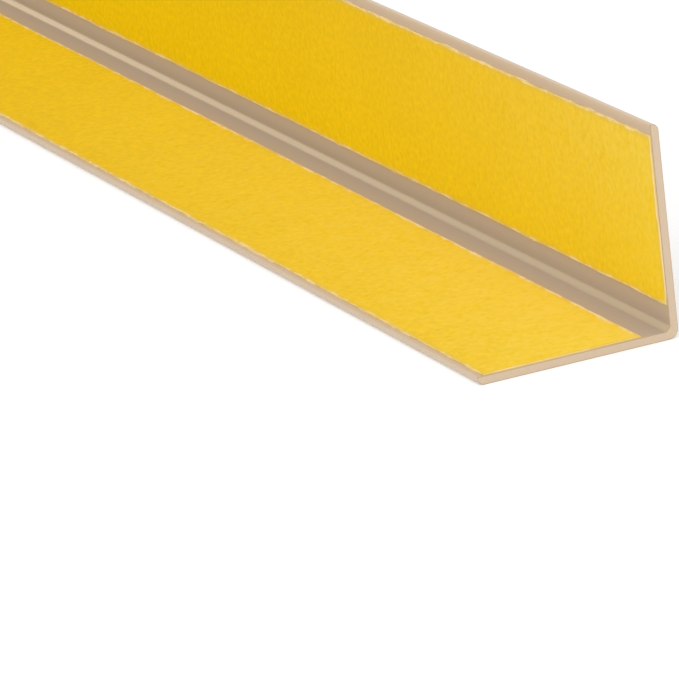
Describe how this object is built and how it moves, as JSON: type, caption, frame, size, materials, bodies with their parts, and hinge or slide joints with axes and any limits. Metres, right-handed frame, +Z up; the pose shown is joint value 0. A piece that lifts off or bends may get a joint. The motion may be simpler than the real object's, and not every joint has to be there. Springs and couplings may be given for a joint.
{
  "type": "corner guard moulding",
  "caption": "Self-adhesive corner guard: an extruded plastic angle with a rounded heel, taped on the inner face of each leg so that it sticks over the outer corner of a wall.",
  "frame": {"origin": "on the floor, at the centre of the footprint of the guard lying on its base leg", "axes": "+X along the length, -Y from the heel to the free edge of the base leg, +Z up along the upright leg"},
  "size_m": [1, 0.05, 0.05],
  "materials": {
    "pvc": "satin",
    "adhesive": "matte",
    "liner": "matte"
  },
  "bodies": {
    "root": {"angle_profile": "pvc", "adhesive_strip_base": "adhesive", "adhesive_strip_upright": "adhesive", "release_liner_base": "liner", "release_liner_upright": "liner"}
  },
  "joints": []
}
